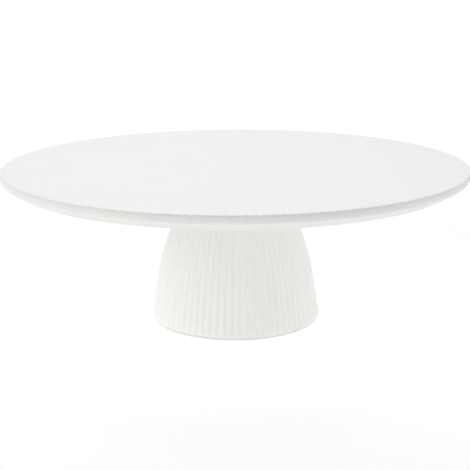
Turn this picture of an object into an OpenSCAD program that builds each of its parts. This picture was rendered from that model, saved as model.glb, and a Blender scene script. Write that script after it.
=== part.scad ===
// Footed cake stand: a flat ribbed plate on a hollow bell-shaped pedestal, clamped together by a hand knob
// from inside the pedestal. Millimetres, +Z up, origin on the table at the middle of the four foot pads.
// The ceramic bodies are drawn to the crests of their fine ribs.

/* [Plate] */
// Diameter of the plate
plate_d = 300; // [260:5:340]
// Height of the plate's top face over the table
stand_h = 102; // [98:0.5:130]
// Thickness of the plate inside its rim
plate_t = 10; // [9:0.5:13]
// Thickness of the rim lip
lip_t = 5.9; // [5.5:0.1:7]
// How far the lip stands out past the thicker middle
lip_w = 7.6; // [6:0.1:12]
// Rounding of the rim's top edge
rim_top_round = 0.8; // [0.4:0.1:1.2]
// How far in the rim's curved lower edge runs
rim_curve_w = 3; // [1:0.1:4]
// How high the rim's curved lower edge reaches
rim_curve_h = 4.6; // [2:0.1:4.8]

/* [Pedestal] */
// Diameter of the pedestal at its foot
base_d = 112.4; // [104:0.2:130]
// Inward lean of the straight lower wall, in millimetres per millimetre of height
wall_lean = 0.169; // [0.12:0.001:0.2]
// Height of the straight lower wall
straight_h = 26.4; // [15:0.2:35]
// Radius of the curved shoulder above it
shoulder_r = 150; // [140:1:220]
// Wall thickness of the bell
wall_t = 6; // [5:0.25:8]
// Width of the flat ring that the pedestal stands on
foot_w = 9.5; // [9:0.25:12]
// Thickness of the deck that closes the top of the bell
deck_t = 8; // [6:0.5:10]

/* [Clamp] */
// Diameter of the stud
stud_d = 7.9; // [7.8:0.02:7.96]
// Diameter of the brass insert
insert_d = 12; // [11:0.5:14]
// Length of the brass insert
insert_len = 9; // [7:0.5:10]
// Diameter over the lobes of the knob
knob_d = 34; // [28:1:40]
// Height of the lobed part of the knob
knob_h = 12; // [10:0.5:16]

/* [Foot pads] */
// Diameter of a foot pad
pad_d = 7; // [5:0.25:7.5]
// How far a foot pad stands below the pedestal
pad_proud = 1.2; // [0.8:0.1:2]

/* [Hidden] */
$fn = 128;

// Round edges and clearances
cut = 1;              // how far a cutting shape runs past the face that it cuts
foot_round = 1.4;     // outer edge of the pedestal's foot
inner_round = 1;      // small broken edges of the ceramic
step_lean = 1.2;      // how far the plate's step leans inward over its height
stud_hole_d = 9;      // clearance hole through the deck
thread_d = 8;         // bore of the insert, at the thread's major diameter

// Plate
plate_r = plate_d / 2;
under_z = stand_h - plate_t;
boss_h = 5;
boss_z = under_z - boss_h;
boss_fillet = 3.5;
socket_depth = insert_len + 0.8;

// Joint between plate and pedestal
gasket_t = 1;
neck_z = boss_z - gasket_t;

// Pedestal
foot_z = pad_proud;
base_r = base_d / 2;
deck_z = neck_z - deck_t;
lean_angle = atan(wall_lean);
shoulder_z = foot_z + straight_h;
shoulder_start_r = base_r - wall_lean * straight_h;
shoulder_axis = [
    shoulder_start_r - shoulder_r * cos(lean_angle),
    shoulder_z - shoulder_r * sin(lean_angle)
];
foot_ring_h = 5;
foot_blend_h = 8;
neck_r = bell_r(neck_z);

// Clamp, from the deck down
cushion_t = 1.5;
washer_t = 1.6;
cushion_z = deck_z - cushion_t;
washer_z = cushion_z - washer_t;
collar_h = 3;
collar_d = 18;
knob_top_z = washer_z - collar_h;
knob_z = knob_top_z - knob_h;
lobe_count = 6;
lobe_r = 5.2;
stud_root_z = knob_z + 3;
stud_tip_z = boss_z + insert_len - 1.5;

// Foot pads
pad_pocket = 1;
pad_t = pad_proud + pad_pocket;
pad_ring_r = base_r - (foot_w + foot_round) / 2;

// Radius of the bell's outer surface at height z
function bell_r(z) =
    z < shoulder_z
        ? base_r - wall_lean * (z - foot_z)
        : shoulder_axis.x + sqrt(pow(shoulder_r, 2) - pow(z - shoulder_axis.y, 2));

// Points of a round stretch about [x, y], from angle a to angle b
function arc(x, y, r, a, b, steps) =
    [for (i = [0 : steps]) let (t = a + (b - a) * i / steps) [x + r * cos(t), y + r * sin(t)]];

// Angle at which the shoulder, drawn with radius r, reaches height z
function shoulder_angle(z, r) = asin((z - shoulder_axis.y) / r);

// The plate with its rim lip, its step and the boss that meets the pedestal
module plate() {
    step_r = plate_r - lip_w;
    outline = concat(
        [[0, stand_h]],
        arc(plate_r - rim_top_round, stand_h - rim_top_round, rim_top_round, 90, 0, 4),
        [for (a = [0 : 9 : 90]) [
            plate_r - rim_curve_w * (1 - cos(a)),
            stand_h - lip_t + rim_curve_h * (1 - sin(a))
        ]],
        [[step_r + step_lean + inner_round, stand_h - lip_t]],
        arc(step_r - inner_round, under_z + inner_round, inner_round, 0, -90, 4),
        arc(neck_r + boss_fillet, under_z - boss_fillet, boss_fillet, 90, 180, 6),
        arc(neck_r - inner_round, boss_z + inner_round, inner_round, 0, -90, 4),
        [[0, boss_z]]
    );
    color([0.94, 0.94, 0.92])
    difference() {
        rotate_extrude() polygon(outline);
        translate([0, 0, boss_z - cut]) cylinder(d = insert_d, h = socket_depth + cut);
    }
}

// Brass insert bonded in the plate's socket, with two grooves that key it in the bond
module threaded_insert() {
    groove_w = 1.2;
    groove_depth = 0.5;
    color([0.8, 0.65, 0.3])
    translate([0, 0, boss_z])
    difference() {
        cylinder(d = insert_d, h = insert_len);
        translate([0, 0, -cut]) cylinder(d = thread_d, h = insert_len + 2 * cut);
        for (share = [1/3, 2/3])
            translate([0, 0, insert_len * share - groove_w / 2])
            difference() {
                cylinder(d = insert_d + 2 * cut, h = groove_w);
                translate([0, 0, -cut]) cylinder(d = insert_d - 2 * groove_depth, h = groove_w + 2 * cut);
            }
    }
}

// Silicone ring that keeps the plate off the pedestal's top face
module joint_gasket() {
    outer_r = neck_r - 2.3;
    inner_r = 11;
    color([0.85, 0.85, 0.84])
    translate([0, 0, neck_z])
    difference() {
        cylinder(r = outer_r, h = gasket_t);
        translate([0, 0, -cut]) cylinder(r = inner_r, h = gasket_t + 2 * cut);
    }
}

// The hollow bell: straight wall, round shoulder, deck with the stud's hole, and pockets for the pads
module pedestal() {
    inner_shoulder_r = shoulder_r - wall_t;
    inner_shoulder_z = shoulder_z - wall_t * sin(lean_angle);
    foot_inner_r = base_r - foot_w;
    blend_z = foot_z + foot_ring_h + foot_blend_h;
    wall_width = wall_t / cos(lean_angle);
    outer = concat(
        arc(bell_r(foot_z + foot_round) - foot_round, foot_z + foot_round, foot_round, -90, 0, 5),
        arc(shoulder_axis.x, shoulder_axis.y, shoulder_r,
            shoulder_angle(shoulder_z, shoulder_r), shoulder_angle(neck_z - inner_round, shoulder_r), 18),
        [[neck_r - inner_round, neck_z], [0, neck_z]]
    );
    inner = concat(
        [[0, deck_z]],
        arc(shoulder_axis.x, shoulder_axis.y, inner_shoulder_r,
            shoulder_angle(deck_z, inner_shoulder_r), shoulder_angle(inner_shoulder_z, inner_shoulder_r), 18),
        [
            [bell_r(blend_z) - wall_width, blend_z],
            [foot_inner_r, foot_z + foot_ring_h],
            [foot_inner_r, foot_z]
        ]
    );
    color([0.93, 0.93, 0.91])
    difference() {
        rotate_extrude() polygon(concat(outer, inner));
        translate([0, 0, deck_z - cut]) cylinder(d = stud_hole_d, h = deck_t + 2 * cut);
        for (turn = [45 : 90 : 315]) pad_at(turn) pad_body();
    }
}

// Silicone washer against the underside of the deck
module cushion_washer() {
    color([0.85, 0.85, 0.84])
    translate([0, 0, cushion_z]) washer(outer_d = 28, inner_d = 8.6, thick = cushion_t);
}

// Flat steel washer between the knob and the silicone washer
module steel_washer() {
    color([0.75, 0.76, 0.78])
    translate([0, 0, washer_z]) washer(outer_d = 24, inner_d = 8.4, thick = washer_t);
}

// A flat ring standing on z = 0
module washer(outer_d, inner_d, thick) {
    difference() {
        cylinder(d = outer_d, h = thick);
        translate([0, 0, -cut]) cylinder(d = inner_d, h = thick + 2 * cut);
    }
}

// Steel stud with chamfered ends
module clamp_stud() {
    chamfer = 0.8;
    stud_r = stud_d / 2;
    color([0.72, 0.73, 0.75])
    rotate_extrude()
    polygon([
        [0, stud_root_z],
        [stud_r - chamfer, stud_root_z],
        [stud_r, stud_root_z + chamfer],
        [stud_r, stud_tip_z - chamfer],
        [stud_r - chamfer, stud_tip_z],
        [0, stud_tip_z]
    ]);
}

// Lobed hand knob moulded round the stud's lower end
module clamp_knob() {
    lobe_ring_r = knob_d / 2 - lobe_r;
    color([0.9, 0.9, 0.89])
    difference() {
        union() {
            translate([0, 0, knob_z])
            linear_extrude(knob_h) {
                circle(r = lobe_ring_r);
                for (i = [0 : lobe_count - 1])
                    rotate(i * 360 / lobe_count) translate([lobe_ring_r, 0]) circle(r = lobe_r);
            }
            translate([0, 0, knob_top_z]) cylinder(d = collar_d, h = collar_h);
        }
        clamp_stud();
    }
}

// A pad's own shape, flat underneath, standing on z = 0
module pad_body() {
    pad_round = 0.6;
    rotate_extrude()
    polygon(concat(
        [[0, 0]],
        arc(pad_d / 2 - pad_round, pad_round, pad_round, -90, 0, 4),
        [[pad_d / 2, pad_t], [0, pad_t]]
    ));
}

// Places a pad under the foot ring, turned round the axis
module pad_at(turn) {
    rotate(turn) translate([pad_ring_r, 0, 0]) children();
}

// One silicone foot pad, held in its pocket
module foot_pad(turn) {
    color([0.8, 0.8, 0.79]) pad_at(turn) pad_body();
}

plate();
threaded_insert();
joint_gasket();
pedestal();
cushion_washer();
steel_washer();
clamp_stud();
clamp_knob();
foot_pad(225);  // foot_pad_front_left
foot_pad(315);  // foot_pad_front_right
foot_pad(135);  // foot_pad_rear_left
foot_pad(45);  // foot_pad_rear_right
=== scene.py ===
"""Looks of the footed cake stand. Lengths are in metres, in the frame of the CAD model: the origin is on the
table under the middle of the stand, +Z is up and the stand's front faces -Y."""

import math

import bmesh
import bpy
import numpy as np
from mathutils import Euler, Matrix, Vector
from mathutils.geometry import tessellate_polygon


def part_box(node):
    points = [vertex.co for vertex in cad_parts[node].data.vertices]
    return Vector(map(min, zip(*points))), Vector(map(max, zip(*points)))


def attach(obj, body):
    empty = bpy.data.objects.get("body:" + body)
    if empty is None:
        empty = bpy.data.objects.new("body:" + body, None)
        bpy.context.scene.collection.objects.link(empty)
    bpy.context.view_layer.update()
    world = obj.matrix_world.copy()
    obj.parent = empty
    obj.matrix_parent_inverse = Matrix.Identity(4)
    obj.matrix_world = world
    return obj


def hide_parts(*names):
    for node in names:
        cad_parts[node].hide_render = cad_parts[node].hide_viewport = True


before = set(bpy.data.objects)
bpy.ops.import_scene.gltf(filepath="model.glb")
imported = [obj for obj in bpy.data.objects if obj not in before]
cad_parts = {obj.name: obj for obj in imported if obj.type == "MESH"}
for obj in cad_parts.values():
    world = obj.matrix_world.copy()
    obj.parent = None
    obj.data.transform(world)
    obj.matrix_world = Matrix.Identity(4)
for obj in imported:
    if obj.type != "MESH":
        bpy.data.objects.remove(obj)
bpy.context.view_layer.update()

MM = 0.001

# ---------------------------------------------------------------- sizes taken from the frame
plate_low, plate_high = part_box("plate")
bell_low, bell_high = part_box("pedestal")
insert_low, insert_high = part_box("threaded_insert")
gasket_low, gasket_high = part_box("joint_gasket")
stud_low, stud_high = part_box("clamp_stud")
knob_low, knob_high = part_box("clamp_knob")

PLATE_R = plate_high.x
PLATE_TOP = plate_high.z
BOSS_Z = plate_low.z
FOOT_Z = bell_low.z
NECK_Z = bell_high.z
NECK_R = gasket_high.x + 2.3 * MM

# ---------------------------------------------------------------- sizes of the ceramic
PLATE_T = 10 * MM
PLATE_RIBS = 183
PLATE_RIB_DEPTH = 0.29 * MM
PLATE_RIB_TURN = -0.62
PLATE_RIB_FADE = 2.4
RIB_START_R = 16 * MM
RIB_FULL_R = 62 * MM
LIP_T = 5.9 * MM
LIP_W = 7.6 * MM
RIM_EDGE = 0.9 * MM
RIM_CURVE_W = 3 * MM
RIM_CURVE_H = 4.6 * MM
RIM_CURVE_POWER = 3.4
BOSS_FLAT_R = 14 * MM

BELL_RIBS = 74
BELL_RIB_DEPTH = 0.85 * MM
BELL_RIB_TURN = 1.2
BASE_R = 56.2 * MM
WALL_LEAN = 0.169
STRAIGHT_H = 26.4 * MM
SHOULDER_R = 150 * MM
WALL_T = 6 * MM
FOOT_W = 9.5 * MM
FOOT_ROUND = 1.4 * MM
DECK_T = 8 * MM
STUD_HOLE_R = 4.5 * MM
POCKET_POINTS = 40

# Shares of a rib's pitch at which its section is drawn, from one valley to the next
RIB_STEPS = (-0.5, -0.47, -0.4, -0.28, -0.14, 0.0, 0.14, 0.28, 0.4, 0.47)


def reed(share):
    """Height of a rounded rib over its valleys, 0 to 1, at a share of its pitch from the crest."""
    soft = 0.12
    wave = abs(math.cos(math.pi * share))
    return (math.hypot(wave, soft) - soft) / (math.hypot(1, soft) - soft)


def smooth(x, low, high):
    """0 below low, 1 above high, and a soft step between them."""
    t = min(max((x - low) / (high - low), 0.0), 1.0)
    return t * t * (3 - 2 * t)


def arc(x, z, r, a, b, steps, squash=1.0):
    """(radius, height) points of a round stretch about (x, z), from angle a to angle b in degrees."""
    turns = [math.radians(a + (b - a) * i / steps) for i in range(steps + 1)]
    return [(x + r * math.cos(t), z + r * squash * math.sin(t)) for t in turns]


# ---------------------------------------------------------------- meshes of rings round the axis
class Skin:
    """A skin of rings round the Z axis. Each ring holds points at the same angles, or at every nth of them."""

    def __init__(self):
        self.points, self.faces, self.rings, self.marks = [], [], [], []

    def ring(self, points, rib=0.0, bare=0.0):
        """Adds a ring and joins it to the one before. rib is a number, or one number a point."""
        start = len(self.points)
        self.points.extend(points)
        ribs = rib if hasattr(rib, "__len__") else [rib] * len(points)
        self.marks.extend((r, bare) for r in ribs)
        self.rings.append(range(start, start + len(points)))
        if len(self.rings) > 1:
            self.join(self.rings[-2], self.rings[-1])

    def join(self, a, b):
        """Faces between two rings, one of which may have a whole number of times the other's points."""
        if len(a) < len(b):
            self.fans(b, a, True)
        elif len(a) > len(b):
            self.fans(a, b, False)
        else:
            n = len(a)
            self.faces.extend((a[i], b[i], b[(i + 1) % n], a[(i + 1) % n]) for i in range(n))

    def fans(self, fine, coarse, flip):
        """Triangles between a fine ring and a coarse one."""
        each, n = len(fine) // len(coarse), len(fine)
        found = []
        for j, c in enumerate(coarse):
            first = j * each
            found.extend((fine[(first + k) % n], c, fine[(first + k + 1) % n]) for k in range(each))
            if len(coarse) > 1:
                after = coarse[(j + 1) % len(coarse)]
                found.append((fine[(first + each) % n], c, after))
        self.faces.extend(f[::-1] if flip else f for f in found)

    def close(self):
        """Joins the last ring to the first, for a body with a hole through it."""
        self.join(self.rings[-1], self.rings[0])

    def lathe(self, outline, angles, bare=0.0):
        """Plain rings at (radius, height) points; a radius of 0 is the single point on the axis."""
        for r, z in outline:
            at = [(r * math.cos(t), r * math.sin(t), z) for t in angles] if r > 0 else [(0, 0, z)]
            self.ring(at, 0.0, bare)


def build(name, skin, sharp_deg=35):
    """A smooth-shaded object from a skin, with its outward side out."""
    mesh = bpy.data.meshes.new(name)
    mesh.from_pydata([tuple(p) for p in skin.points], [], [tuple(f) for f in skin.faces])
    for label, column in (("rib", 0), ("bare", 1)):
        layer = mesh.attributes.new(label, "FLOAT", "POINT")
        layer.data.foreach_set("value", np.array([m[column] for m in skin.marks], np.float32))
    return finish_mesh(name, mesh, sharp_deg)


def finish_mesh(name, mesh, sharp_deg):
    """Turns the faces outward, smooths them and links the object."""
    work = bmesh.new()
    work.from_mesh(mesh)
    bmesh.ops.recalc_face_normals(work, faces=work.faces)
    work.to_mesh(mesh)
    work.free()
    mesh.polygons.foreach_set("use_smooth", [True] * len(mesh.polygons))
    mesh.set_sharp_from_angle(angle=math.radians(sharp_deg))
    mesh.update()
    piece = bpy.data.objects.new(name, mesh)
    bpy.context.scene.collection.objects.link(piece)
    return piece


def even(n):
    """n angles round the circle."""
    return [2 * math.pi * i / n for i in range(n)]


def rib_angles(count, turn_deg):
    """The angles and the rib heights, 0 to 1, round a circle of ribs, starting in a valley."""
    first = math.radians(turn_deg)
    turns = [first + (i + 0.5 + s) * 2 * math.pi / count for i in range(count) for s in RIB_STEPS]
    heights = [reed(s) for s in RIB_STEPS] * count
    return turns, heights


def ribbed(skin, turns, heights, crest, valley):
    """A ring whose points lie between a crest's (radius, height) and a valley's, by the rib's height."""
    points = []
    for t, h in zip(turns, heights):
        r = valley[0] + (crest[0] - valley[0]) * h
        z = valley[1] + (crest[1] - valley[1]) * h
        points.append((r * math.cos(t), r * math.sin(t), z))
    skin.ring(points, heights)


# ---------------------------------------------------------------- the two ceramic bodies
def rib_depth(r):
    """Depth of the plate's ribs at radius r: they run out towards the middle."""
    return PLATE_RIB_DEPTH * (r / PLATE_R) ** PLATE_RIB_FADE * smooth(r, RIB_START_R, RIB_FULL_R)


def rim_r(z):
    """Radius of the rim's outer face at height z: upright at the top, then a squarish ellipse inwards."""
    share = min(max((PLATE_TOP - z - LIP_T + RIM_CURVE_H) / RIM_CURVE_H, 0.0), 1.0)
    return PLATE_R - RIM_CURVE_W * (1 - (1 - share ** RIM_CURVE_POWER) ** (1 / RIM_CURVE_POWER))


def make_plate():
    skin = Skin()
    turns, heights = rib_angles(PLATE_RIBS, PLATE_RIB_TURN)
    every = len(RIB_STEPS)
    skin.lathe([(0, PLATE_TOP)], [0])
    skin.lathe([(6 * MM, PLATE_TOP)], turns[:: every * 3])
    skin.lathe([(11 * MM, PLATE_TOP)], turns[::every])
    for r in np.concatenate([np.linspace(16, 66, 12), [80, 95, 110, 125, 138, 146]]) * MM:
        ribbed(skin, turns, heights, (r, PLATE_TOP), (r, PLATE_TOP - rib_depth(r)))
    # the ribs' round ends run out over the rim's top edge
    depth = PLATE_RIB_DEPTH
    inset = 0.7 * depth
    crest = arc(PLATE_R - RIM_EDGE, PLATE_TOP - RIM_EDGE, RIM_EDGE, 90, 0, 6)
    valley = arc(PLATE_R - RIM_EDGE - inset, PLATE_TOP - RIM_EDGE - depth, RIM_EDGE, 90, 0, 6)
    for c, v in zip(crest, valley):
        ribbed(skin, turns, heights, c, v)
    fade = 1.0 * MM
    for share in (0.33, 0.66, 1.0):
        low = PLATE_TOP - RIM_EDGE - depth - fade * share
        ribbed(
            skin, turns, heights,
            (rim_r(low + depth * (1 - share)), low + depth * (1 - share)),
            (rim_r(low) - inset * (1 - smooth(share, 0, 1)), low),
        )
    plain = turns[:: every // 2]
    lip_z, under_z = PLATE_TOP - LIP_T, PLATE_TOP - PLATE_T
    step_r = PLATE_R - LIP_W
    down = (16, 24, 33, 42, 51, 60, 68, 76, 83, 90)
    curve = [lip_z + RIM_CURVE_H * (1 - math.sin(math.radians(a))) for a in down]
    skin.lathe(
        [(rim_r(z), z) for z in curve]
        + [(step_r + 3.4 * MM, lip_z)]
        + arc(step_r + 2.9 * MM, lip_z - 1.0 * MM, 1.0 * MM, 90, 160, 4)
        + arc(step_r - 1.4 * MM, under_z + 1.4 * MM, 1.4 * MM, -10, -90, 6)
        + [(130 * MM, under_z), (100 * MM, under_z), (60 * MM, under_z)]
        + arc(NECK_R + 3.5 * MM, under_z - 3.5 * MM, 3.5 * MM, 90, 180, 8)
        + arc(NECK_R - 1.0 * MM, BOSS_Z + 1.0 * MM, 1.0 * MM, 0, -90, 5),
        plain,
    )
    socket_r = insert_high.x + 0.1 * MM
    socket_top = insert_high.z + 0.8 * MM
    skin.lathe([(NECK_R - 3 * MM, BOSS_Z), (BOSS_FLAT_R, BOSS_Z)], plain, bare=1.0)
    skin.lathe(
        [(socket_r + 0.3 * MM, BOSS_Z), (socket_r, BOSS_Z + 0.3 * MM), (socket_r, socket_top), (0, socket_top)],
        plain[::3],
        bare=1.0,
    )
    return build("ribbed_plate", skin)


def bell_r(z, inset=0.0):
    """Radius of the bell at height z, for its outer surface or one that lies inset inside it."""
    lean = math.atan(WALL_LEAN)
    start_z = FOOT_Z + STRAIGHT_H
    start_r = BASE_R - WALL_LEAN * STRAIGHT_H
    centre_r = start_r - SHOULDER_R * math.cos(lean)
    centre_z = start_z - SHOULDER_R * math.sin(lean)
    if z < start_z - inset * math.sin(lean):
        return BASE_R - WALL_LEAN * (z - FOOT_Z) - inset / math.cos(lean)
    return centre_r + math.sqrt((SHOULDER_R - inset) ** 2 - (z - centre_z) ** 2)


def make_pedestal():
    skin = Skin()
    turns, heights = rib_angles(BELL_RIBS, BELL_RIB_TURN)
    plain = turns[:: len(RIB_STEPS) // 2]
    deck_z = NECK_Z - DECK_T
    foot_in = BASE_R - FOOT_W
    edge_z = FOOT_Z + FOOT_ROUND
    edge_r = bell_r(edge_z) - FOOT_ROUND
    # from the foot's flat, round its edge and up the ribs
    skin.lathe([(edge_r - 0.1 * MM, FOOT_Z)], plain, bare=1.0)
    for step, (r, z) in enumerate(arc(edge_r, edge_z, FOOT_ROUND, -80, 0, 6)):
        depth = BELL_RIB_DEPTH * smooth(step, -1.5, 6)
        ribbed(skin, turns, heights, (r, z), (r - depth, z))
    levels = np.concatenate([np.linspace(edge_z + 1 * MM, NECK_Z - 2 * MM, 34), [NECK_Z - 1.2 * MM]])
    for z in levels:
        depth = BELL_RIB_DEPTH * (0.35 + 0.65 * bell_r(z) / BASE_R)
        ribbed(skin, turns, heights, (bell_r(z), z), (bell_r(z) - depth, z))
    for share, z in ((0.7, NECK_Z - 0.5 * MM), (0.3, NECK_Z - 0.12 * MM)):
        r = NECK_R - 0.9 * MM * (1 - share) ** 2
        ribbed(skin, turns, heights, (r, z), (r - 0.4 * MM * share, z))
    neck_flat = [(NECK_R - 0.9 * MM, NECK_Z), (NECK_R - 3 * MM, NECK_Z), (BOSS_FLAT_R, NECK_Z)]
    skin.lathe(neck_flat, plain, bare=1.0)
    hole = plain[::2]
    skin.lathe(
        [(STUD_HOLE_R + 0.5 * MM, NECK_Z), (STUD_HOLE_R, NECK_Z - 0.5 * MM), (STUD_HOLE_R, deck_z + 0.5 * MM),
         (STUD_HOLE_R + 0.5 * MM, deck_z)],
        hole,
        bare=1.0,
    )
    # under the deck and down the inside
    deck_r = bell_r(deck_z, WALL_T)
    corner = 3 * MM
    inside = [(16 * MM, deck_z), (deck_r - corner - 1.5 * MM, deck_z)]
    inside += arc(deck_r - corner, deck_z - corner, corner, 80, 22, 5)
    inside += [(bell_r(z, WALL_T), z) for z in np.linspace(deck_z - 5 * MM, FOOT_Z + 13 * MM, 18)]
    inside += [(foot_in + 0.25 * MM, FOOT_Z + 6.5 * MM), (foot_in, FOOT_Z + 5 * MM), (foot_in, FOOT_Z + 1 * MM)]
    skin.lathe(inside, plain)
    skin.lathe(arc(foot_in + 0.8 * MM, FOOT_Z + 0.8 * MM, 0.8 * MM, 200, 270, 3), plain, bare=1.0)
    close_foot(skin, skin.rings[-1], skin.rings[0])
    return build("ribbed_pedestal", skin)


def pad_centres():
    """Name, middle and radius of each foot pad."""
    found = []
    for name in sorted(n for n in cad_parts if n.startswith("foot_pad")):
        low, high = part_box(name)
        found.append((name, (low + high) / 2, (high.x - low.x) / 2))
    return found


def close_foot(skin, inner, outer):
    """The flat of the foot between its two edges, with the pads' shallow pockets sunk in it."""
    loops = [list(outer), list(inner)]
    pocket_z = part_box("foot_pad_front_left")[1].z
    floors = []
    for _, centre, r in pad_centres():
        loop = []
        for z in (FOOT_Z, pocket_z):
            start = len(skin.points)
            for t in even(POCKET_POINTS):
                skin.points.append((centre.x + r * math.cos(t), centre.y + r * math.sin(t), z))
                skin.marks.append((0.0, 1.0))
            loop.append(list(range(start, start + POCKET_POINTS)))
        loops.append(loop[0])
        floors.append(loop[1])
        for i in range(POCKET_POINTS):
            j = (i + 1) % POCKET_POINTS
            skin.faces.append((loop[0][i], loop[0][j], loop[1][j], loop[1][i]))
        skin.faces.append(tuple(loop[1]))
    flat = [[Vector((skin.points[i][0], skin.points[i][1], 0)) for i in loop] for loop in loops]
    order = [i for loop in loops for i in loop]
    skin.faces.extend(tuple(order[i] for i in face) for face in tessellate_polygon(flat))


# ---------------------------------------------------------------- hardware inside the pedestal
THREAD_PITCH = 1.25 * MM


def thread(z, t):
    """How deep a right-hand thread is cut at height z and angle t: 0 on the crest, 1 at the root."""
    share = (z / THREAD_PITCH - t / (2 * math.pi)) % 1.0
    flank = abs(share - 0.5) * 2
    return min(max((0.85 - flank) / 0.6, 0.0), 1.0)


def make_insert():
    """The brass insert: three knurled bands outside, a thread in the bore."""
    skin = Skin()
    turns = even(192)
    low, high = insert_low.z, insert_high.z
    length, out_r, bore_r = high - low, insert_high.x, 4.0 * MM
    edge, cut = 0.3 * MM, 0.35 * MM

    def outside(z):
        near = min(abs((z - low) / length - share) for share in (1 / 3, 2 / 3)) * length
        groove = 1 - smooth(near, 0.45 * MM, 0.65 * MM)
        end = smooth(min(z - low, high - z), 0, edge)
        for t in turns:
            knurl = abs(math.sin(24 * t)) * 0.22 * MM
            r = out_r - 0.4 * MM * (1 - end) - max(0.5 * MM * groove, 0.22 * MM - knurl)
            yield (r * math.cos(t), r * math.sin(t), z)

    def bore(z):
        for t in turns:
            r = bore_r + cut * thread(z, t) + edge * (1 - smooth(min(z - low, high - z), 0, edge))
            yield (r * math.cos(t), r * math.sin(t), z)

    marks = [0, edge, length / 3 - 0.65 * MM, length / 3 - 0.45 * MM, length / 3 + 0.45 * MM]
    marks += [length / 3 + 0.65 * MM, 2 * length / 3 - 0.65 * MM, 2 * length / 3 - 0.45 * MM]
    marks += [2 * length / 3 + 0.45 * MM, 2 * length / 3 + 0.65 * MM, length - edge, length]
    for mark in marks:
        skin.ring(list(outside(low + mark)))
    for z in np.linspace(high, low, 84):
        skin.ring(list(bore(z)))
    skin.close()
    return build("knurled_insert", skin)


def make_stud():
    """The steel stud: a plain shank in the knob, then an M8 thread up to a chamfered tip."""
    skin = Skin()
    turns = even(64)
    root_r = 0.68 * MM
    r0 = stud_high.x
    skin.lathe([(0, stud_low.z), (r0 - 0.8 * MM, stud_low.z), (r0, stud_low.z + 0.8 * MM)], turns)
    start = knob_high.z + 0.6 * MM
    skin.lathe([(r0, start - 0.4 * MM)], turns)
    rows = int((stud_high.z - start) / (THREAD_PITCH / 14))
    for z in np.linspace(start, stud_high.z, rows):
        deep = smooth(z, start, start + 1 * MM) * root_r
        most = r0 - max(0.0, 0.9 * MM - (stud_high.z - z))
        radii = [min(r0 - deep * thread(z, t), most) for t in turns]
        skin.ring([(r * math.cos(t), r * math.sin(t), z) for r, t in zip(radii, turns)])
    skin.lathe([(0, stud_high.z)], turns)
    return build("m8_stud", skin, 60)


def ring_body(name, inner, outer, low, high, edge):
    """A flat ring with rounded edges."""
    skin = Skin()
    outline = (
        arc(outer - edge, low + edge, edge, -90, 0, 4)
        + arc(outer - edge, high - edge, edge, 0, 90, 4)
        + arc(inner + edge, high - edge, edge, 90, 180, 4)
        + arc(inner + edge, low + edge, edge, 180, 270, 4)
    )
    skin.lathe(outline, even(128))
    skin.close()
    return build(name, skin, 50)


def lobed(t):
    """Radius of the knob's outline at angle t: six round lobes blended into a round middle."""
    lobe_r = 5.2 * MM
    ring_r = knob_high.x - lobe_r
    away = (t + math.pi / 6) % (math.pi / 3) - math.pi / 6
    across = ring_r * math.sin(away)
    lobe = ring_r * math.cos(away) + math.sqrt(max(lobe_r ** 2 - across ** 2, 0))
    blend = 2.4 * MM
    gap = max(blend - abs(lobe - ring_r), 0) / blend
    return min(max(lobe, ring_r) + gap * gap * blend / 4, knob_high.x)


def make_knob():
    """The hand knob: rounded lobes, a shallow dish underneath and a collar that holds the stud."""
    skin = Skin()
    turns = even(240)
    low, collar_top = knob_low.z, knob_high.z
    collar_r, top = 9 * MM, knob_high.z - 3 * MM

    def lobes(points):
        for inset, z in points:
            skin.ring([((lobed(t) - inset) * math.cos(t), (lobed(t) - inset) * math.sin(t), z) for t in turns])

    dish = 0.8 * MM
    skin.lathe([(0, low + dish)], turns)
    skin.lathe([(3 * MM, low + dish), (6.4 * MM, low + dish), (7.0 * MM, low + 0.7 * dish)], turns)
    skin.lathe([(7.5 * MM, low + 0.15 * dish), (8.1 * MM, low)], turns)
    soft = 2.2 * MM
    lobes([(soft - soft * math.sin(math.radians(a)), low + soft - soft * math.cos(math.radians(a)))
           for a in range(0, 91, 15)])
    lobes([(0, (low + top) / 2)])
    lobes([(soft - soft * math.cos(math.radians(a)), top - soft + soft * math.sin(math.radians(a)))
           for a in range(0, 91, 15)])
    bore_r = stud_high.x + 0.02 * MM
    skin.lathe(
        arc(collar_r + 1 * MM, top + 1 * MM, 1 * MM, 270, 180, 4)
        + arc(collar_r - 0.5 * MM, collar_top - 0.5 * MM, 0.5 * MM, 0, 90, 4)
        + [(bore_r + 0.3 * MM, collar_top), (bore_r, collar_top - 0.3 * MM)]
        + [(bore_r, stud_low.z), (0, stud_low.z)],
        turns,
    )
    return build("lobed_knob", skin, 40)


def make_pad(name, centre, r):
    """A silicone pad: flat underneath with a soft edge, its upper part in the foot's pocket."""
    low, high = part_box(name)
    skin = Skin()
    edge = 0.6 * MM
    side_r = r - 0.03 * MM
    outline = [(0, low.z), (side_r * 0.5, low.z)]
    outline += arc(side_r - edge, low.z + edge, edge, -90, 0, 6)
    outline += [(side_r, high.z - 0.15 * MM), (side_r - 0.15 * MM, high.z), (0, high.z)]
    skin.lathe(outline, even(64))
    piece = build("silicone_" + name, skin, 50)
    piece.data.transform(Matrix.Translation((centre.x, centre.y, 0)))
    return piece


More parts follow.
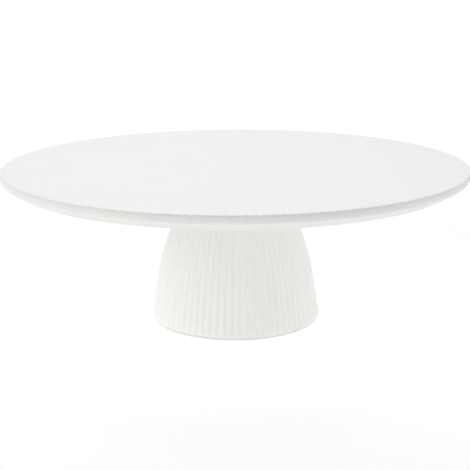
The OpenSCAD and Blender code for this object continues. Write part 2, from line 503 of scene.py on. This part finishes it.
# ---------------------------------------------------------------- materials
class Look:
    """A node material: its Principled shader, and short ways to add and join nodes."""

    def __init__(self, name, sockets):
        self.mat = bpy.data.materials.new(name)
        self.mat.use_nodes = True
        self.tree = self.mat.node_tree
        self.shader = self.tree.nodes["Principled BSDF"]
        for socket, value in sockets.items():
            self.shader.inputs[socket].default_value = value
        self.place = self.add("TexCoord").outputs["Object"]

    def add(self, kind, joins=None, **settings):
        """A node, with its settings, and with sockets set or joined by name or number."""
        made = self.tree.nodes.new("ShaderNode" + kind)
        for key, value in settings.items():
            setattr(made, key, value)
        for socket, value in (joins or {}).items():
            if isinstance(value, bpy.types.NodeSocket):
                self.tree.links.new(value, made.inputs[socket])
            else:
                made.inputs[socket].default_value = value
        return made

    def noise(self, scale, detail=2.0, rough=0.5, place=None):
        joins = {"Vector": place or self.place, "Scale": scale, "Detail": detail, "Roughness": rough}
        return self.add("TexNoise", joins).outputs["Fac"]

    def spread(self, value, low, high, to_low, to_high, soft=False):
        """value taken from one range to another, held at its ends."""
        joins = {"Value": value, "From Min": low, "From Max": high, "To Min": to_low, "To Max": to_high}
        kind = "SMOOTHSTEP" if soft else "LINEAR"
        return self.add("MapRange", joins, interpolation_type=kind).outputs["Result"]

    def math(self, operation, a, b):
        return self.add("Math", {0: a, 1: b}, operation=operation).outputs[0]

    def mark(self, name):
        """The mesh's own number for each point, such as its rib height."""
        return self.add("Attribute", attribute_name=name).outputs["Fac"]

    def mix(self, share, a, b):
        """Colours a and b mixed by share."""
        return self.add("Mix", {0: share, 6: a, 7: b}, data_type="RGBA").outputs[2]

    def drive(self, socket, value):
        self.tree.links.new(value, self.shader.inputs[socket])

    def bump(self, *layers):
        """Bumps on each other, each (height, strength, distance in metres)."""
        normal = None
        for height, strength, distance in layers:
            joins = {"Height": height, "Strength": strength, "Distance": distance}
            if normal:
                joins["Normal"] = normal
            normal = self.add("Bump", joins).outputs["Normal"]
        self.drive("Normal", normal)


def stoneware(name, tint):
    """Matt white glaze over buff stoneware, thinner on the crests of ribs and absent where the body is bare."""
    look = Look(name, {"IOR": 1.5, "Specular IOR Level": 0.35})
    pool = tuple(c * 0.992 for c in tint)
    worn = (tint[0] * 0.985, tint[1] * 0.975, tint[2] * 0.95)
    bisque = (0.7, 0.655, 0.59, 1)
    clouds = look.spread(look.noise(16, 3), 0.35, 0.65, 0, 1)
    colour = look.mix(clouds, (*tint, 1), (*pool, 1))
    thin = look.spread(look.mark("rib"), 0.8, 1.0, 0, 0.35)
    colour = look.mix(thin, colour, (*worn, 1))
    specks = look.spread(look.noise(620, 1), 0.74, 0.8, 0, 0.15)
    colour = look.mix(specks, colour, (0.62, 0.58, 0.5, 1))
    edge = look.math("ADD", look.mark("bare"), look.spread(look.noise(140, 3), 0.3, 0.7, -0.35, 0.35))
    bare = look.spread(edge, 0.45, 0.55, 0, 1)
    grog = look.spread(look.noise(900, 2, 0.7), 0.35, 0.7, 0, 1)
    clay = look.mix(grog, bisque, (0.8, 0.76, 0.7, 1))
    look.drive("Base Color", look.mix(bare, colour, clay))
    satin = look.spread(look.noise(55, 4), 0.3, 0.7, 0.6, 0.7)
    look.drive("Roughness", look.math("MAXIMUM", satin, look.spread(bare, 0, 1, 0, 0.9)))
    holes = look.add("TexVoronoi", {"Vector": look.place, "Scale": 210.0})
    rare = look.spread(look.add("SeparateColor", {0: holes.outputs["Color"]}).outputs[0], 0.86, 0.87, 0, 1)
    pits = look.math("MULTIPLY", look.spread(holes.outputs["Distance"], 0.0, 0.09, -1, 0), rare)
    look.bump(
        (look.noise(260, 2), 0.16, 0.08 * MM),
        (look.noise(1500, 3, 0.6), look.spread(bare, 0, 1, 0.08, 0.5), 0.05 * MM),
        (pits, 0.5, 0.15 * MM),
    )
    return look.mat


def silicone(name, tint):
    """Milky moulded rubber with a fine matt skin."""
    look = Look(name, {
        "IOR": 1.41,
        "Subsurface Weight": 0.25,
        "Subsurface Scale": 1.5 * MM,
        "Subsurface Radius": (1.0, 0.95, 0.9),
    })
    cloud = look.spread(look.noise(260, 2), 0.35, 0.65, 0, 1)
    look.drive("Base Color", look.mix(cloud, (*tint, 1), (*[c * 0.93 for c in tint], 1)))
    look.drive("Roughness", look.spread(look.noise(900, 2), 0.3, 0.7, 0.48, 0.64))
    look.bump((look.noise(2600, 2), 0.3, 0.03 * MM))
    return look.mat


def turned_metal(name, tint, stain):
    """Machined metal: fine rings round the axis, with a few darker stains."""
    look = Look(name, {"Metallic": 1.0, "IOR": 2.5})
    rings = look.add("Mapping", {"Vector": look.place, "Scale": (0.12, 0.12, 1.0)}).outputs[0]
    lines = look.noise(5200, 2, 0.7, rings)
    patches = look.spread(look.noise(240, 4, 0.6), 0.45, 0.75, 0, 0.6)
    look.drive("Base Color", look.mix(patches, (*tint, 1), (*stain, 1)))
    look.drive("Roughness", look.spread(lines, 0.3, 0.7, 0.24, 0.42))
    look.bump((lines, 0.25, 0.02 * MM))
    return look.mat


def moulded_plastic(name, tint):
    """Matt nylon with the fine sparked texture of its mould."""
    look = Look(name, {"IOR": 1.48})
    scuff = look.spread(look.noise(420, 4, 0.65), 0.6, 0.75, 0, 0.5)
    look.drive("Base Color", look.mix(scuff, (*tint, 1), (*[c * 0.9 for c in tint], 1)))
    look.drive("Roughness", look.spread(look.noise(800, 2), 0.3, 0.7, 0.5, 0.62))
    look.bump((look.noise(2400, 2, 0.6), 0.35, 0.05 * MM))
    return look.mat


def dress(piece, nodes, body, material):
    """Gives a piece its material, the CAD nodes that it stands for and its body."""
    piece.data.materials.clear()
    piece.data.materials.append(material)
    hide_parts(*nodes)
    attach(piece, body)


# ---------------------------------------------------------------- the stand
plate_glaze = stoneware("matt white glaze of the plate", (0.88, 0.88, 0.872))
bell_glaze = stoneware("matt white glaze of the pedestal", (0.88, 0.88, 0.872))
soft_silicone = silicone("milky silicone", (0.8, 0.8, 0.79))
pad_silicone = silicone("clear silicone of the foot pads", (0.78, 0.78, 0.76))
steel = turned_metal("turned stainless steel", (0.62, 0.62, 0.63), (0.5, 0.49, 0.47))
brass = turned_metal("turned brass", (0.83, 0.64, 0.32), (0.6, 0.42, 0.2))
nylon = moulded_plastic("off-white nylon", (0.8, 0.8, 0.78))

dress(make_plate(), ["plate"], "plate_body", plate_glaze)
dress(make_insert(), ["threaded_insert"], "plate_body", brass)
dress(make_pedestal(), ["pedestal"], "pedestal_body", bell_glaze)
gasket = ring_body("neck_gasket", 11 * MM, gasket_high.x, gasket_low.z, gasket_high.z, 0.3 * MM)
dress(gasket, ["joint_gasket"], "pedestal_body", soft_silicone)
cushion_low, cushion_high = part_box("cushion_washer")
cushion = ring_body("silicone_washer", 4.3 * MM, cushion_high.x, cushion_low.z, cushion_high.z, 0.35 * MM)
dress(cushion, ["cushion_washer"], "washer_pair", soft_silicone)
washer_low, washer_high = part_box("steel_washer")
flat_washer = ring_body("flat_washer", 4.2 * MM, washer_high.x, washer_low.z, washer_high.z, 0.2 * MM)
dress(flat_washer, ["steel_washer"], "washer_pair", steel)
dress(make_stud(), ["clamp_stud"], "clamp_screw", steel)
dress(make_knob(), ["clamp_knob"], "clamp_screw", nylon)
for pad_name, pad_centre, pad_r in pad_centres():
    dress(make_pad(pad_name, pad_centre, pad_r), [pad_name], "pedestal_body", pad_silicone)


# ---------------------------------------------------------------- floor, light and camera
def make_floor():
    """A wide white table top that glows. Its glow is painted light: a pool round the stand paints out the
    plate's shadow on it, and a dimmer disc under the foot paints a shadow line below the foot.
    """
    skin = Skin()
    skin.lathe([(0, 0), (0.5, 0), (4, 0), (12, 0)], even(96))
    floor = build("table_top", skin)
    look = Look("white table", {"Roughness": 0.7, "Emission Color": (1, 1, 0.99, 1)})
    shade = look.spread(look.noise(3, 2), 0.3, 0.7, 0, 1)
    look.drive("Base Color", look.mix(shade, (0.75, 0.75, 0.745, 1), (0.74, 0.74, 0.735, 1)))
    away = look.add("VectorMath", {0: look.place}, operation="LENGTH").outputs["Value"]
    # painted light on the floor: the glow is strongest round the foot, where it paints out the stand's shadow,
    # weaker under the foot, where it paints a shadow line below it, and rises again a little towards the far
    # floor
    pool = look.spread(away, 0.06, 0.3, 0.42, 0, soft=True)
    # painted shadow: the glow drops to 0.3 under the foot, so a dark line shows below the bell
    shadow_under_foot = look.spread(away, 0.0545, 0.0575, 0.3, 1, soft=True)
    far = look.spread(away, 0.15, 0.7, 0.22, 0.34)
    look.drive("Emission Strength", look.math("ADD", look.math("MULTIPLY", pool, shadow_under_foot), far))
    floor.data.materials.append(look.mat)


# Soft lights of the room: degrees to the right of the front, degrees up, strength and colour
ROOM = (
    (0, 8, 0.69, (0.95, 1, 0.93)),
    (90, 8, 1.25, (1.05, 1, 1.03)),
    (135, 45, 0.95, (0.96, 1, 0.96)),
    (180, 45, 1.77, (1.03, 1, 1.06)),
    (225, 8, 0.56, (0.99, 1, 1.08)),
    (225, 45, 0.54, (0.96, 1, 0.96)),
    (270, 45, 0.32, (0.96, 1, 0.95)),
    (315, 8, 0.68, (1, 1, 0.94)),
)


def make_world():
    """A room with large soft lights in it, whose walls look plain white to the camera."""
    world = bpy.data.worlds.new("studio")
    bpy.context.scene.world = world
    world.use_nodes = True
    nodes, links = world.node_tree.nodes, world.node_tree.links
    nodes.clear()
    way = nodes.new("ShaderNodeTexCoord").outputs["Generated"]
    total = None
    for right, up, strength, colour in ROOM:
        a, e = math.radians(right), math.radians(up)
        toward = (math.sin(a) * math.cos(e), -math.cos(a) * math.cos(e), math.sin(e))
        near = nodes.new("ShaderNodeVectorMath")
        near.operation = "DOT_PRODUCT"
        near.inputs[1].default_value = toward
        links.new(way, near.inputs[0])
        soft = nodes.new("ShaderNodeMapRange")
        soft.interpolation_type = "SMOOTHSTEP"
        soft.inputs["From Min"].default_value = 0.7
        links.new(near.outputs["Value"], soft.inputs["Value"])
        glow = nodes.new("ShaderNodeVectorMath")
        glow.operation = "SCALE"
        glow.inputs[0].default_value = [strength * c for c in colour]
        links.new(soft.outputs["Result"], glow.inputs["Scale"])
        if total:
            both = nodes.new("ShaderNodeVectorMath")
            links.new(total, both.inputs[0])
            links.new(glow.outputs[0], both.inputs[1])
            glow = both
        total = glow.outputs[0]
    room = nodes.new("ShaderNodeBackground")
    links.new(total, room.inputs["Color"])
    white = nodes.new("ShaderNodeBackground")
    white.inputs["Color"].default_value = (1, 1, 1, 1)
    seen = nodes.new("ShaderNodeLightPath").outputs["Is Camera Ray"]
    chosen = nodes.new("ShaderNodeMixShader")
    links.new(seen, chosen.inputs[0])
    links.new(room.outputs[0], chosen.inputs[1])
    links.new(white.outputs[0], chosen.inputs[2])
    links.new(chosen.outputs[0], nodes.new("ShaderNodeOutputWorld").inputs[0])


def softbox(name, at, size, power, colour):
    """A square area light that faces the stand."""
    light = bpy.data.lights.new(name, "AREA")
    light.size = size
    light.energy = power
    light.color = colour
    lamp = bpy.data.objects.new(name, light)
    lamp.location = at
    lamp.rotation_euler = (Vector((0, 0, 0.06)) - Vector(at)).to_track_quat("-Z", "Y").to_euler()
    bpy.context.scene.collection.objects.link(lamp)


def make_camera():
    """The photograph's view: a little above the plate, far enough away for a mild perspective."""
    distance, height, pitch, roll = 0.69, 0.2274, math.radians(14.11), math.radians(-0.22)
    camera = bpy.data.cameras.new("camera")
    camera.sensor_width = 36
    camera.lens = 82.57
    camera.clip_start = 0.01
    seen = bpy.data.objects.new("camera", camera)
    turn = Euler((math.radians(90) - pitch, 0, 0)).to_matrix().to_4x4() @ Matrix.Rotation(roll, 4, "Z")
    seen.matrix_world = Matrix.Translation((-0.0002, -distance, height)) @ turn
    bpy.context.scene.collection.objects.link(seen)
    bpy.context.scene.camera = seen


make_camera()
make_floor()
make_world()
softbox("left softbox", (-1.3, -0.5, 1.0), 1.0, 4.8, (1.06, 1, 1.02))
bpy.context.scene.view_settings.view_transform = "Standard"
